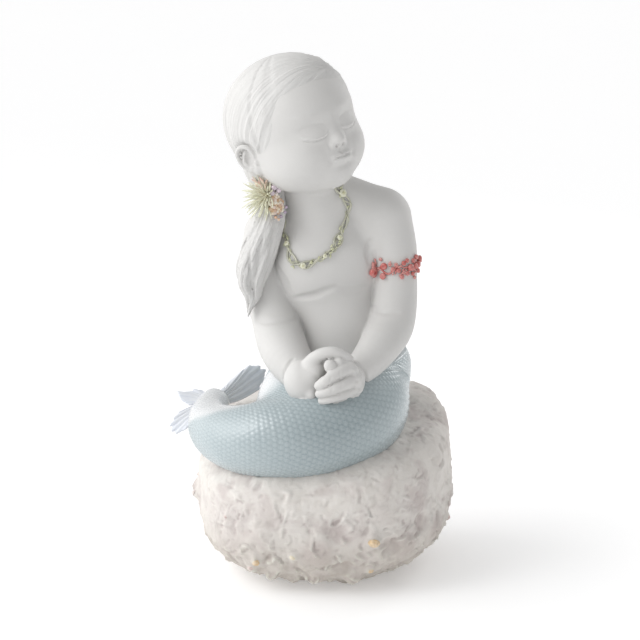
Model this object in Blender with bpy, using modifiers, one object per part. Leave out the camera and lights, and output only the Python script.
# Porcelain mermaid child on a boulder: a small table or shelf figurine, about 0.28 m tall.
# Standalone Blender 4.5 script. Lengths are millimetres in the tables and metres in the mesh. +Z up, front is -Y.
# The origin is on the boulder's flat foot, under the middle of the figure.
import math

import bmesh
import bpy
from mathutils import Matrix, Vector, noise
from mathutils.bvhtree import BVHTree

for old in list(bpy.data.objects):
    bpy.data.objects.remove(old, do_unlink=True)

MM = 0.001
GAP = 0.35 * MM  # clearance between separately formed pieces

# ---------------------------------------------------------------- driving dimensions (mm)
FIGURE_VOXEL = 1.5
ROCK_MID = (1.5, -1.0, 42.0)  # middle of the boulder at its widest
ROCK_LEFT, ROCK_RIGHT, ROCK_FRONT, ROCK_BACK = 68.3, 67.8, 62.5, 57.5  # how far it reaches from there
ROCK_TOP, ROCK_TOP_SLOPE = 36.0, (0.115, 0.09)  # height of the top over the middle, rising to the right and the back
ROCK_BACK_RISE = 0.19  # the left half rises more behind y = 14
ROCK_CORNER = (0.715, 0.30, 0.16)  # the back right corner: its angle and spread in radians, and by what part it reaches further
ROCK_CREST = ((50.0, 42.0), (26.0, 24.0), 5.5)  # the top is highest there: middle, spread, height
ROCK_UNDER = 44.8  # depth at which the drawn-in underside would close
DRAIN_R, DRAIN_DEPTH, DRAIN_Y = 5.0, 14.0, 10.0  # casting drain hole in the foot

# head placing: centre, and how far it is turned and leaned
HEAD_C = (-12.5, 3.0, 237.5)
HEAD_YAW, HEAD_PITCH, HEAD_ROLL = 38.0, 0.0, 16.0

TORSO = [  # centre, half sizes, turn about Z in degrees
    ((9.5, 8.0, 106.0), (35.0, 28.0, 20.0), 0),
    ((11.8, 6.4, 128.5), (23.0, 22.3, 23.0), 8),
    ((5.0, 7.8, 156.0), (29.0, 20.0, 24.0), 12),
    ((3.0, 10.8, 177.0), (31.5, 16.0, 15.0), 12),
]
SHOULDERS = [((31.0, 10.0, 190.0), 12.4), ((17.0, 11.0, 196.0), 12.4), ((5.0, 12.0, 198.0), 12.0), ((-14.0, 14.5, 187.0), 10.5)]
NECK = [((1.0, 11.5, 187.0), 18.5), ((-3.0, 9.5, 198.0), 17.0), ((-9.0, 8.0, 213.0), 16.5)]
ARM_L = [((34.0, 9.0, 187.0), 14.2), ((38.0, 6.0, 172.5), 13.2), ((39.3, 2.5, 158.0), 12.1), ((39.2, -2.0, 143.0), 12.1), ((37.0, -9.0, 132.5), 12.1), ((31.5, -19.0, 125.5), 11.0), ((25.5, -27.5, 119.5), 9.5), ((20.5, -33.5, 116.0), 8.5)]
ARM_R = [((-26.5, 13.0, 177.5), 14.2), ((-29.3, 9.0, 164.0), 12.8), ((-27.8, 4.5, 150.0), 12.3), ((-23.4, -1.0, 134.0), 12.6), ((-20.6, -10.0, 125.0), 12.8), ((-16.5, -20.5, 118.8), 12.0), ((-11.5, -29.0, 114.0), 10.4), ((-8.5, -34.0, 112.0), 9.4)]
HANDS = [
    ((-8.5, -42.0, 112.3), (9.6, 9.2, 11.6), 0),
    ((-1.5, -42.5, 118.0), (7.5, 7.4, 7.5), 0),
    ((3.0, -43.5, 109.5), (12.0, 8.0, 9.0), 0),
    ((14.8, -41.5, 111.8), (8.6, 9.0, 11.0), 0),
]
FINGERS = [
    [((-8.0, -42.5, 121.0), 4.8), ((-3.0, -45.0, 126.0), 4.1), ((6.6, -47.0, 129.2), 3.1), ((14.6, -44.0, 126.6), 2.6)],
    [((13.4, -46.5, 123.4), 3.6), ((4.8, -52.4, 123.8), 3.5)],
    [((15.2, -47.8, 120.8), 4.1), ((7.0, -54.3, 118.7), 3.5), ((0.2, -54.4, 114.6), 3.0)],
    [((17.0, -48.0, 115.6), 4.2), ((7.8, -55.4, 113.4), 3.2), ((0.2, -54.8, 110.8), 2.7)],
    [((17.2, -47.5, 110.2), 4.1), ((8.0, -54.2, 108.2), 3.0), ((0.8, -53.6, 106.9), 2.5)],
    [((15.4, -45.5, 105.6), 3.9), ((7.6, -51.4, 103.9), 2.8), ((2.0, -50.8, 103.9), 2.3)],
]
TAIL = [  # centre line of the fish tail and its radius, from the hips round to the flukes
    ((10.0, 6.0, 110.0), 29.0), ((14.5, -1.0, 100.5), 30.0), ((18.5, -15.0, 92.5), 28.5), ((12.5, -31.0, 87.5), 25.5), ((-4.5, -41.5, 84.0), 23.0),
    ((-25.5, -42.5, 81.3), 20.2), ((-42.5, -35.0, 79.3), 17.2), ((-54.0, -20.5, 79.0), 14.2), ((-58.8, -4.0, 80.5), 11.4), ((-58.5, 8.0, 83.0), 9.0),
]
HIP = ((-12.0, -15.5, 93.5), (20.5, 20.5, 20.0))  # her right hip, from which the tail curls to the left
FLUKE_ROOT = (-57.8, 10.0, 83.2)
FLUKES = [  # rays of the fluke lobes from the root: bend, tip, thickness
    ((-42.5, 23.0, 83.6), (-33.0, 29.0, 87.6), 3.0), ((-42.0, 24.4, 87.2), (-30.6, 31.0, 93.2), 3.0), ((-42.2, 25.0, 90.6), (-29.8, 31.5, 98.0), 3.0),
    ((-43.4, 24.6, 93.2), (-33.4, 30.0, 100.9), 3.0), ((-45.4, 23.2, 94.4), (-38.4, 28.0, 101.6), 2.9), ((-50.0, 20.4, 92.4), (-46.6, 23.4, 95.6), 2.8),
    ((-59.6, 16.6, 86.4), (-60.4, 18.0, 87.0), 2.8), ((-62.2, 17.2, 87.8), (-64.6, 19.4, 89.6), 2.8), ((-64.4, 16.6, 88.2), (-68.4, 19.0, 90.4), 2.8),
    ((-66.4, 15.8, 87.8), (-72.6, 17.6, 89.2), 2.8), ((-67.6, 14.4, 87.2), (-77.6, 15.2, 90.0), 2.8), ((-68.2, 12.2, 85.8), (-75.2, 11.8, 86.6), 2.8),
    ((-70.0, 7.0, 84.0), (-76.0, 4.2, 82.0), 3.0),
    ((-72.0, 3.8, 80.6), (-80.6, -0.2, 75.8), 3.0), ((-70.4, 0.8, 77.6), (-76.8, -3.6, 72.2), 3.0),
]
LOCKS = [  # locks of the side tail of hair, root to tip
    [((-27.0, 0.0, 197.0), 7.5), ((-28.0, -4.0, 184.0), 8.5), ((-31.0, -6.0, 168.0), 8.5), ((-33.0, -8.0, 156.0), 6.0), ((-34.0, -8.5, 146.0), 3.2), ((-36.5, -8.0, 138.0), 1.4)],
    [((-24.0, -2.0, 197.0), 6.0), ((-24.0, -7.0, 184.0), 6.5), ((-26.0, -8.5, 171.0), 6.5), ((-27.5, -10.0, 158.0), 4.2), ((-28.5, -10.5, 149.0), 1.8)],
    [((-30.0, 2.0, 195.0), 6.0), ((-35.0, -1.0, 180.0), 6.5), ((-38.0, -2.0, 165.0), 6.5), ((-38.5, -4.0, 153.0), 4.5), ((-37.5, -6.0, 144.0), 2.2)],
]
SPRAY_C = (-31.0, -5.0, 203.5)  # centre of the pale spiky hair spray
SPRAY_R, SPRAY_RAYS = 18.0, 30
CLUSTER_C = (-22.0, -12.0, 197.0)  # centre of the little bead cluster beside it
ARMLET_Z, ARMLET_C, ARMLET_R = 163.0, (39.1, 3.6), 13.2  # coral armlet on the upper arm
NECKLACE = [  # way points of the garland, laid on the skin afterwards
    (-20.0, -15.5, 178.5), (-19.0, -17.0, 174.5), (-14.5, -18.0, 167.5), (-8.5, -18.0, 162.5), (-1.0, -18.0, 164.0),
    (7.0, -17.0, 169.0), (12.5, -15.0, 175.5), (16.5, -12.0, 184.0), (17.5, -6.0, 192.0), (15.5, 2.0, 199.0),
    (10.0, 14.0, 202.0), (0.0, 22.0, 202.0), (-11.0, 24.0, 202.0), (-20.0, 20.0, 201.0),
]


# ---------------------------------------------------------------- helpers
def collection(name):
    made = bpy.data.collections.new(name)
    bpy.context.scene.collection.children.link(made)
    return made


FIGURINE = collection("mermaid_figurine")
CUTTERS = collection("cutters")


def material(name, rgb, rough, coat=0.0):
    m = bpy.data.materials.new(name)
    m.use_nodes = True
    b = m.node_tree.nodes["Principled BSDF"]
    b.inputs["Base Color"].default_value = (*rgb, 1.0)
    b.inputs["Roughness"].default_value = rough
    b.inputs["Metallic"].default_value = 0.0
    b.inputs["Coat Weight"].default_value = coat
    return m


BISQUE = material("bisque_white", (0.80, 0.79, 0.77), 0.55)
ROCKY = material("rock_cream", (0.74, 0.69, 0.64), 0.75)
GREENISH = material("pale_green_glaze", (0.80, 0.82, 0.62), 0.3, 0.4)
CORAL = material("coral_red", (0.80, 0.25, 0.22), 0.35, 0.3)
CREAM = material("spray_cream", (0.86, 0.83, 0.64), 0.4)
AMBER = material("cluster_amber", (0.78, 0.52, 0.34), 0.35)


def head_frame():
    """Columns: her left, the way she faces, up through the crown."""
    yaw, pitch, roll = (math.radians(a) for a in (HEAD_YAW, HEAD_PITCH, HEAD_ROLL))
    turn = Matrix.Rotation(-roll, 3, "Y") @ Matrix.Rotation(yaw, 3, "Z") @ Matrix.Rotation(-pitch, 3, "X")
    return turn  # local axes: +X her left, -Y the face, +Z the crown


TURN = head_frame()


def on_head(x, y, z):
    """A point of the head's own frame, in mm, in the figure's frame."""
    return tuple(Vector(HEAD_C) + TURN @ Vector((x, y, z)))


def ball(into, centre, radii, turn=None, segments=28, rings=18):
    """Adds an ellipsoid to a bmesh."""
    m = Matrix.Translation(Vector(centre) * MM)
    if turn is not None:
        m = m @ turn.to_4x4()
    m = m @ Matrix.Diagonal((radii[0] * MM, radii[1] * MM, radii[2] * MM, 1.0))
    bmesh.ops.create_uvsphere(into, u_segments=segments, v_segments=rings, radius=1.0, matrix=m)


def smooth_path(points, steps):
    """Catmull-Rom points and radii along a list of (point, radius)."""
    made = []
    n = len(points)
    for i in range(n - 1):
        p = [points[max(0, min(n - 1, i + k))] for k in (-1, 0, 1, 2)]
        for s in range(steps):
            t = s / steps
            w = (-t + 2 * t * t - t**3, 2 - 5 * t * t + 3 * t**3, t + 4 * t * t - 3 * t**3, t**3 - t * t)
            co = sum((Vector(q[0]) * (0.5 * k) for q, k in zip(p, w)), Vector())
            made.append((co, sum(0.5 * k * q[1] for q, k in zip(p, w))))
    made.append((Vector(points[-1][0]), points[-1][1]))
    return made


def limb(into, points, steps=5, round_ends=True):
    """Adds a tapered tube along the points to a bmesh: a poly curve with its own radii, made a mesh."""
    path = smooth_path(points, steps)
    curve = bpy.data.curves.new("limb", "CURVE")
    curve.dimensions = "3D"
    curve.bevel_depth = MM
    curve.bevel_resolution = 5
    curve.use_fill_caps = True
    spline = curve.splines.new("POLY")
    spline.points.add(len(path) - 1)
    for q, (co, r) in zip(spline.points, path):
        q.co = (*(co * MM), 1.0)
        q.radius = r
    holder = bpy.data.objects.new("limb", curve)
    bpy.context.scene.collection.objects.link(holder)
    bpy.context.view_layer.update()
    mesh = bpy.data.meshes.new_from_object(holder.evaluated_get(bpy.context.evaluated_depsgraph_get()))
    into.from_mesh(mesh)
    bpy.data.objects.remove(holder)
    bpy.data.meshes.remove(mesh)
    if round_ends:
        for co, r in (path[0], path[-1]):
            ball(into, co, (r, r, r), segments=16, rings=10)


def place(name, bm, mat, where=FIGURINE):
    bmesh.ops.remove_doubles(bm, verts=bm.verts, dist=1e-7)
    mesh = bpy.data.meshes.new(name)
    bm.to_mesh(mesh)
    bm.free()
    made = bpy.data.objects.new(name, mesh)
    where.objects.link(made)
    mesh.materials.append(mat)
    return made


def fuse(obj, voxel, smooth, ratio):
    """Fuses the overlapping solids of obj into one closed skin, softens it, and thins the mesh."""
    r = obj.modifiers.new("fuse", "REMESH")
    r.mode = "VOXEL"
    r.voxel_size = voxel * MM
    r.use_smooth_shade = True
    if smooth:
        s = obj.modifiers.new("soften", "SMOOTH")
        s.factor = 0.5
        s.iterations = smooth
    if ratio < 1:
        d = obj.modifiers.new("thin", "DECIMATE")
        d.ratio = ratio
    bpy.context.view_layer.update()
    mesh = bpy.data.meshes.new_from_object(obj.evaluated_get(bpy.context.evaluated_depsgraph_get()))
    obj.modifiers.clear()
    old = obj.data
    mats = [m for m in old.materials]
    obj.data = mesh
    if not mesh.materials:
        for m in mats:
            mesh.materials.append(m)
    bpy.data.meshes.remove(old)
    mesh.name = obj.name
    # keep only the outer skin, the largest of the closed shells
    bm = bmesh.new()
    bm.from_mesh(mesh)
    left = set(bm.verts)
    shells = []
    while left:
        seed = left.pop()
        shell, todo = {seed}, [seed]
        while todo:
            v = todo.pop()
            for e in v.link_edges:
                w = e.other_vert(v)
                if w not in shell:
                    shell.add(w)
                    todo.append(w)
        left -= shell
        shells.append(shell)
    shells.sort(key=len)
    for shell in shells[:-1]:
        bmesh.ops.delete(bm, geom=list(shell), context="VERTS")
    bmesh.ops.recalc_face_normals(bm, faces=bm.faces)
    bm.to_mesh(mesh)
    bm.free()
    mesh.shade_smooth()
    return obj


def tree_of(obj):
    bm = bmesh.new()
    bm.from_mesh(obj.data)
    tree = BVHTree.FromBMesh(bm)
    bm.free()
    return tree


# ---------------------------------------------------------------- the cast figure: head, hair, torso, arms, hands and fish tail
bm = bmesh.new()
for centre, radii, turn in TORSO:
    ball(bm, centre, radii, Matrix.Rotation(math.radians(turn), 3, "Z"))
limb(bm, SHOULDERS)
limb(bm, NECK)
limb(bm, ARM_L)
limb(bm, ARM_R)
for centre, radii, turn in HANDS:
    ball(bm, centre, radii, Matrix.Rotation(math.radians(turn), 3, "Z"))
for finger in FINGERS:
    limb(bm, finger, steps=3)
# skull under the hair, face, cheeks, chin, nose, lids and ears, on plain child proportions
ball(bm, on_head(0, 3.9, 5.0), (32.4, 37.8, 32.4), TURN)
ball(bm, on_head(0, -6.9, 5.5), (26.5, 26.0, 23.0), TURN)
ball(bm, on_head(0, -6.9, -11), (25.8, 23.4, 23.0), TURN)
for side in (-1, 1):
    ball(bm, on_head(side * 13.0, -18.0, -14), (12.0, 11.6, 11.6), TURN)
    ball(bm, on_head(side * 20.6, -4, -15), (8.0, 13.0, 11.0), TURN)
    ball(bm, on_head(side * 31.0, 5.0, -9), (3.2, 5.6, 8.4), TURN)
    ball(bm, on_head(side * 10.8, -26.5, -2.8), (6.4, 5.0, 4.8), TURN)
ball(bm, on_head(0, -23.7, -27), (7.6, 7.0, 6.4), TURN)
ball(bm, on_head(0, -33.6, -10), (3.8, 3.4, 3.2), TURN)
limb(bm, [(on_head(0, -28.6, 1), 2.8), (on_head(0, -32.6, -8), 3.0)], steps=2)
ball(bm, on_head(0, -29.0, -18.2), (7.6, 3.8, 4.6), TURN)
for lock in LOCKS:
    limb(bm, lock, steps=4)
limb(bm, [(on_head(-17.6, 13.7, -16.7), 10.6), (on_head(-18.6, 11.8, -24.5), 9.0), ((-27.0, -0.5, 201.0), 8.0)], steps=4)
# the fish tail, wider than deep at the hips, and its flukes
limb(bm, TAIL, steps=6)
ball(bm, *HIP)
ball(bm, (11.0, 7.5, 106.0), (37.5, 29.0, 16.0))
for bend, tip, thick in FLUKES:
    limb(bm, [(FLUKE_ROOT, thick * 1.35), (bend, thick), (tip, 1.4)], steps=6)
figure = place("mermaid_figure", bm, BISQUE)
fuse(figure, FIGURE_VOXEL, 6, 0.085)

# ---------------------------------------------------------------- the cast boulder, hollowed where the tail lies in it
def rock_reach(angle, x, y, z):
    """Distance from the boulder's upright middle line to its side, at an angle round it; its top is uneven over x and y."""
    c, s = math.cos(angle), math.sin(angle)
    half_x = ROCK_RIGHT if c > 0 else ROCK_LEFT
    half_y = ROCK_BACK if s > 0 else ROCK_FRONT
    plan = (abs(c / half_x) ** 2.25 + abs(s / half_y) ** 2.25) ** (-1 / 2.25)
    plan *= 1 + 0.016 * math.sin(3 * angle + 1.1) + 0.012 * math.sin(5 * angle + 0.4)
    plan *= 1 + ROCK_CORNER[2] * math.exp(-(((angle - ROCK_CORNER[0]) / ROCK_CORNER[1]) ** 2))
    if z >= ROCK_MID[2]:
        fade = max(0.0, min(1.0, (10 - y) / 25))
        left = max(0.0, min(1.0, (10 - x) / 35))
        top = ROCK_TOP + ROCK_TOP_SLOPE[0] * x * (1.0 if x > 0 else fade) + ROCK_TOP_SLOPE[1] * y + ROCK_BACK_RISE * max(0.0, y - 14) * left
        (mx, my), (wx, wy), crest = ROCK_CREST
        top += crest * math.exp(-(((x - mx) / wx) ** 2 + ((y - my) / wy) ** 2))
        k = min(1.0, (z - ROCK_MID[2]) / top)
        square = max(0.0, min(1.0, (y - 5) / 25))
        square *= square * (3 - 2 * square)  # a flatter top with a sharper edge at the back
        return plan * (1 - k ** (5.0 + 7.0 * square)) ** (1 / (2.2 + 1.3 * square))
    k = min(1.0, (ROCK_MID[2] - z) / ROCK_UNDER)
    return plan * (1 - k**3.0) ** (1 / 2.2)


bm = bmesh.new()
bmesh.ops.create_icosphere(bm, subdivisions=5, radius=1.0)
for v in bm.verts:
    d = Vector((v.co.x, v.co.y * 0.95, v.co.z * 0.9))
    angle = math.atan2(d.y, d.x)
    flat = math.hypot(d.x, d.y)
    low, high = 0.0, 130.0
    for _ in range(24):
        t = 0.5 * (low + high)
        if flat * t > rock_reach(angle, ROCK_MID[0] + d.x * t, ROCK_MID[1] + d.y * t, ROCK_MID[2] + d.z * t):
            high = t
        else:
            low = t
    p = Vector(ROCK_MID) + d * high
    rough = noise.fractal(p * 0.045, 0.9, 2.0, 4) * 1.6
    p += d.normalized() * rough
    p.z = max(0.0, p.z)
    v.co = p * MM
# the flat foot: everything that reached the ground is one plane
rock = place("rock_base", bm, ROCKY)
bm = bmesh.new()
bm.from_mesh(rock.data)
bmesh.ops.bisect_plane(bm, geom=bm.verts[:] + bm.edges[:] + bm.faces[:], dist=1e-7, plane_co=(0, 0, 0.0006), plane_no=(0, 0, -1), clear_outer=True)
rim = [e for e in bm.edges if e.is_boundary]
bmesh.ops.holes_fill(bm, edges=rim, sides=0)
for v in bm.verts:
    if v.co.z < 0.00061:
        v.co.z = 0.0
bmesh.ops.recalc_face_normals(bm, faces=bm.faces)
bm.to_mesh(rock.data)
bm.free()
d = rock.modifiers.new("thin", "DECIMATE")
d.ratio = 0.16
bpy.context.view_layer.update()
thin = bpy.data.meshes.new_from_object(rock.evaluated_get(bpy.context.evaluated_depsgraph_get()))
rock.modifiers.clear()
rock.data = thin
for v in thin.vertices:
    if v.co.z < 0.0003:
        v.co.z = 0.0

# cutter: the figure itself, grown by the clearance
seat = bpy.data.objects.new("seat_cutter", figure.data.copy())
CUTTERS.objects.link(seat)
grow = seat.modifiers.new("grow", "DISPLACE")
grow.mid_level = 0.0
grow.strength = GAP * 1.3
seat.hide_render = True
seat.display_type = "WIRE"
cut = rock.modifiers.new("seat", "BOOLEAN")
cut.operation = "DIFFERENCE"
cut.solver = "EXACT"
cut.object = seat

bm = bmesh.new()
bmesh.ops.create_cone(bm, cap_ends=True, segments=32, radius1=DRAIN_R * MM, radius2=DRAIN_R * MM, depth=2 * DRAIN_DEPTH * MM, matrix=Matrix.Translation((0, DRAIN_Y * MM, 0)))
drain = place("drain_cutter", bm, ROCKY, CUTTERS)
drain.hide_render = True
drain.display_type = "WIRE"
hole = rock.modifiers.new("drain", "BOOLEAN")
hole.operation = "DIFFERENCE"
hole.solver = "EXACT"
hole.object = drain

# ---------------------------------------------------------------- pieces formed by hand and laid on the figure
skin = tree_of(figure)


def lay(point, lift):
    """The nearest place on the figure's skin, lifted off it; lift in mm."""
    co, normal, _, _ = skin.find_nearest(Vector(point) * MM)
    return (co + normal * (lift * MM)) / MM, normal


# garland: two strands that wind about each other, with small flower knots
bm = bmesh.new()
way = smooth_path([(p, 1.0) for p in NECKLACE], 8)
for phase in (0.0, math.pi):
    strand = []
    for i, (co, _) in enumerate(way):
        t = i / (len(way) - 1)
        p, n = lay(co, 0)
        ahead = (way[min(i + 1, len(way) - 1)][0] - way[max(i - 1, 0)][0]).normalized()
        side = ahead.cross(n).normalized()
        turn = 2 * math.pi * 9 * t + phase
        strand.append((p + n * (1.75 + 0.35 * math.sin(turn)) + side * (1.15 * math.cos(turn)), 0.85))
    limb(bm, strand, steps=1, round_ends=False)
for at in ((-19.8, -16.0, 177.5), (-8.5, -18.0, 162.5), (9.5, -16.0, 172.0), (15.5, 2.0, 199.0)):
    p, n = lay(at, 2.3)
    ball(bm, p, (2.2, 2.2, 1.6), n.to_track_quat("Z", "X").to_matrix(), 16, 10)
necklace = place("necklace", bm, GREENISH)
fuse(necklace, 0.42, 2, 0.17)

# armlet: coral beads on a thin winding twig round the upper arm
bm = bmesh.new()
twig = []
for i in range(37):
    a = 2 * math.pi * i / 36
    z = ARMLET_Z + 1.4 * math.sin(3 * a) + 1.6 * math.cos(a)
    p, n = lay((ARMLET_C[0] + ARMLET_R * 1.3 * math.cos(a), ARMLET_C[1] + ARMLET_R * 1.3 * math.sin(a), z), 1.55)
    twig.append((p, 0.75))
limb(bm, twig, steps=1, round_ends=False)
for i in range(30):
    a = 2 * math.pi * (i + 0.3 * math.sin(5 * i)) / 30
    size = (1.5, 2.3, 1.25, 1.9, 1.4, 2.6)[i % 6]
    z = ARMLET_Z + 1.6 * math.cos(a) + 2.0 * math.sin(2.4 * i)
    p, n = lay((ARMLET_C[0] + ARMLET_R * 1.3 * math.cos(a), ARMLET_C[1] + ARMLET_R * 1.3 * math.sin(a), z), size * 0.62 + 0.9)
    ball(bm, p, (size, size, size * 0.62), n.to_track_quat("Z", "X").to_matrix(), 14, 9)
armlet = place("coral_armlet", bm, CORAL)
fuse(armlet, 0.5, 1, 0.16)

# hair spray: fine tapered petals round a small heart, lifted clear of the hair
heart, away = lay(SPRAY_C, 3.2)
bm = bmesh.new()
ball(bm, heart, (5.0, 5.0, 3.0), away.to_track_quat("Z", "X").to_matrix(), 20, 12)
u = away.orthogonal().normalized()
w = away.cross(u)
for i in range(SPRAY_RAYS):
    a = i * 2.39996
    rise = 0.25 + 0.75 * ((i * 7) % SPRAY_RAYS) / SPRAY_RAYS
    d = (u * math.cos(a) + w * math.sin(a)) + away * rise
    length = SPRAY_R * (0.62 + 0.3 * ((i * 11) % 7) / 7)
    d.normalize()
    limb(bm, [(heart, 1.5), (heart + d * length * 0.5 + away * 0.8, 1.1), (heart + d * length, 0.7)], steps=2)
spray = place("hair_spray", bm, CREAM)
fuse(spray, 0.55, 1, 0.16)

# bead cluster next to the spray
middle, away = lay(CLUSTER_C, 2.8)
bm = bmesh.new()
ball(bm, middle, (4.6, 5.6, 2.1), away.to_track_quat("Z", "Y").to_matrix(), 20, 12)
u = away.orthogonal().normalized()
w = away.cross(u)
for i in range(16):
    a = i * 2.39996
    r = 1.25 * math.sqrt(i + 0.5)
    p = middle + (u * math.cos(a) + w * math.sin(a)) * r * 1.05 + away * (1.3 - 0.045 * r * r)
    ball(bm, p, (1.3, 1.3, 1.3), None, 12, 8)
cluster = place("bead_cluster", bm, AMBER)
fuse(cluster, 0.5, 1, 0.22)


def clear_of(obj, others, clearance=GAP * 1.2):
    """Cuts obj by its neighbours, each grown by the clearance, and keeps the largest body."""
    for i, other in enumerate(others):
        tool = bpy.data.objects.new(f"{obj.name}_cutter_{i}", other.data.copy())
        CUTTERS.objects.link(tool)
        tool.hide_render = True
        tool.display_type = "WIRE"
        grow = tool.modifiers.new("grow", "DISPLACE")
        grow.mid_level = 0.0
        grow.strength = clearance
        cut = obj.modifiers.new("clear", "BOOLEAN")
        cut.operation = "DIFFERENCE"
        cut.solver = "EXACT"
        cut.object = tool


def keep_largest(obj):
    bpy.context.view_layer.update()
    mesh = bpy.data.meshes.new_from_object(obj.evaluated_get(bpy.context.evaluated_depsgraph_get()))
    obj.modifiers.clear()
    bm = bmesh.new()
    bm.from_mesh(mesh)
    left = set(bm.verts)
    shells = []
    while left:
        seed = left.pop()
        shell, todo = {seed}, [seed]
        while todo:
            v = todo.pop()
            for e in v.link_edges:
                o = e.other_vert(v)
                if o not in shell:
                    shell.add(o)
                    todo.append(o)
        left -= shell
        shells.append(shell)
    shells.sort(key=len)
    for shell in shells[:-1]:
        bmesh.ops.delete(bm, geom=list(shell), context="VERTS")
    bm.to_mesh(mesh)
    bm.free()
    obj.data = mesh


keep_largest(rock)
clear_of(armlet, [figure])
keep_largest(armlet)
clear_of(spray, [figure])
keep_largest(spray)
clear_of(cluster, [figure, spray])
keep_largest(cluster)
clear_of(necklace, [figure, cluster, spray])
keep_largest(necklace)
